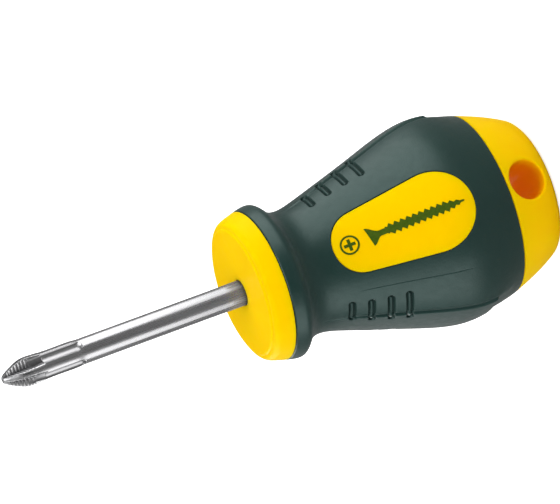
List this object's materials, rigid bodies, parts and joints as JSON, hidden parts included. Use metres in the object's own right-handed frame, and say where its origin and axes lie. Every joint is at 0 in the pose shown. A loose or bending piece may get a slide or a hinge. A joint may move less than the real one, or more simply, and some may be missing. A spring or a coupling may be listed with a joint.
{
  "type": "stubby cross-point screwdriver",
  "caption": "Short screwdriver with a cross-point steel blade fixed in a pear-shaped two-tone handle with oval windows, grip slots and a hang hole.",
  "frame": {"origin": "centre of the flat butt face, so the tool stands upright on its handle", "axes": "+Z along the blade from the butt to the point, the grip windows and the hang hole face -Y and +Y, the side pads face -X and +X"},
  "size_m": [0.032, 0.0312, 0.0906],
  "materials": {
    "blade_steel": "satin chrome plating with fine lengthwise polishing lines",
    "core_plastic": "yellow moulded plastic, semi-gloss",
    "grip_rubber": "dark green soft moulded elastomer, fine matt grain with a soft sheen"
  },
  "bodies": {
    "root": {"blade": "blade_steel", "handle_core": "core_plastic", "grip_sleeve": "grip_rubber"}
  },
  "joints": []
}
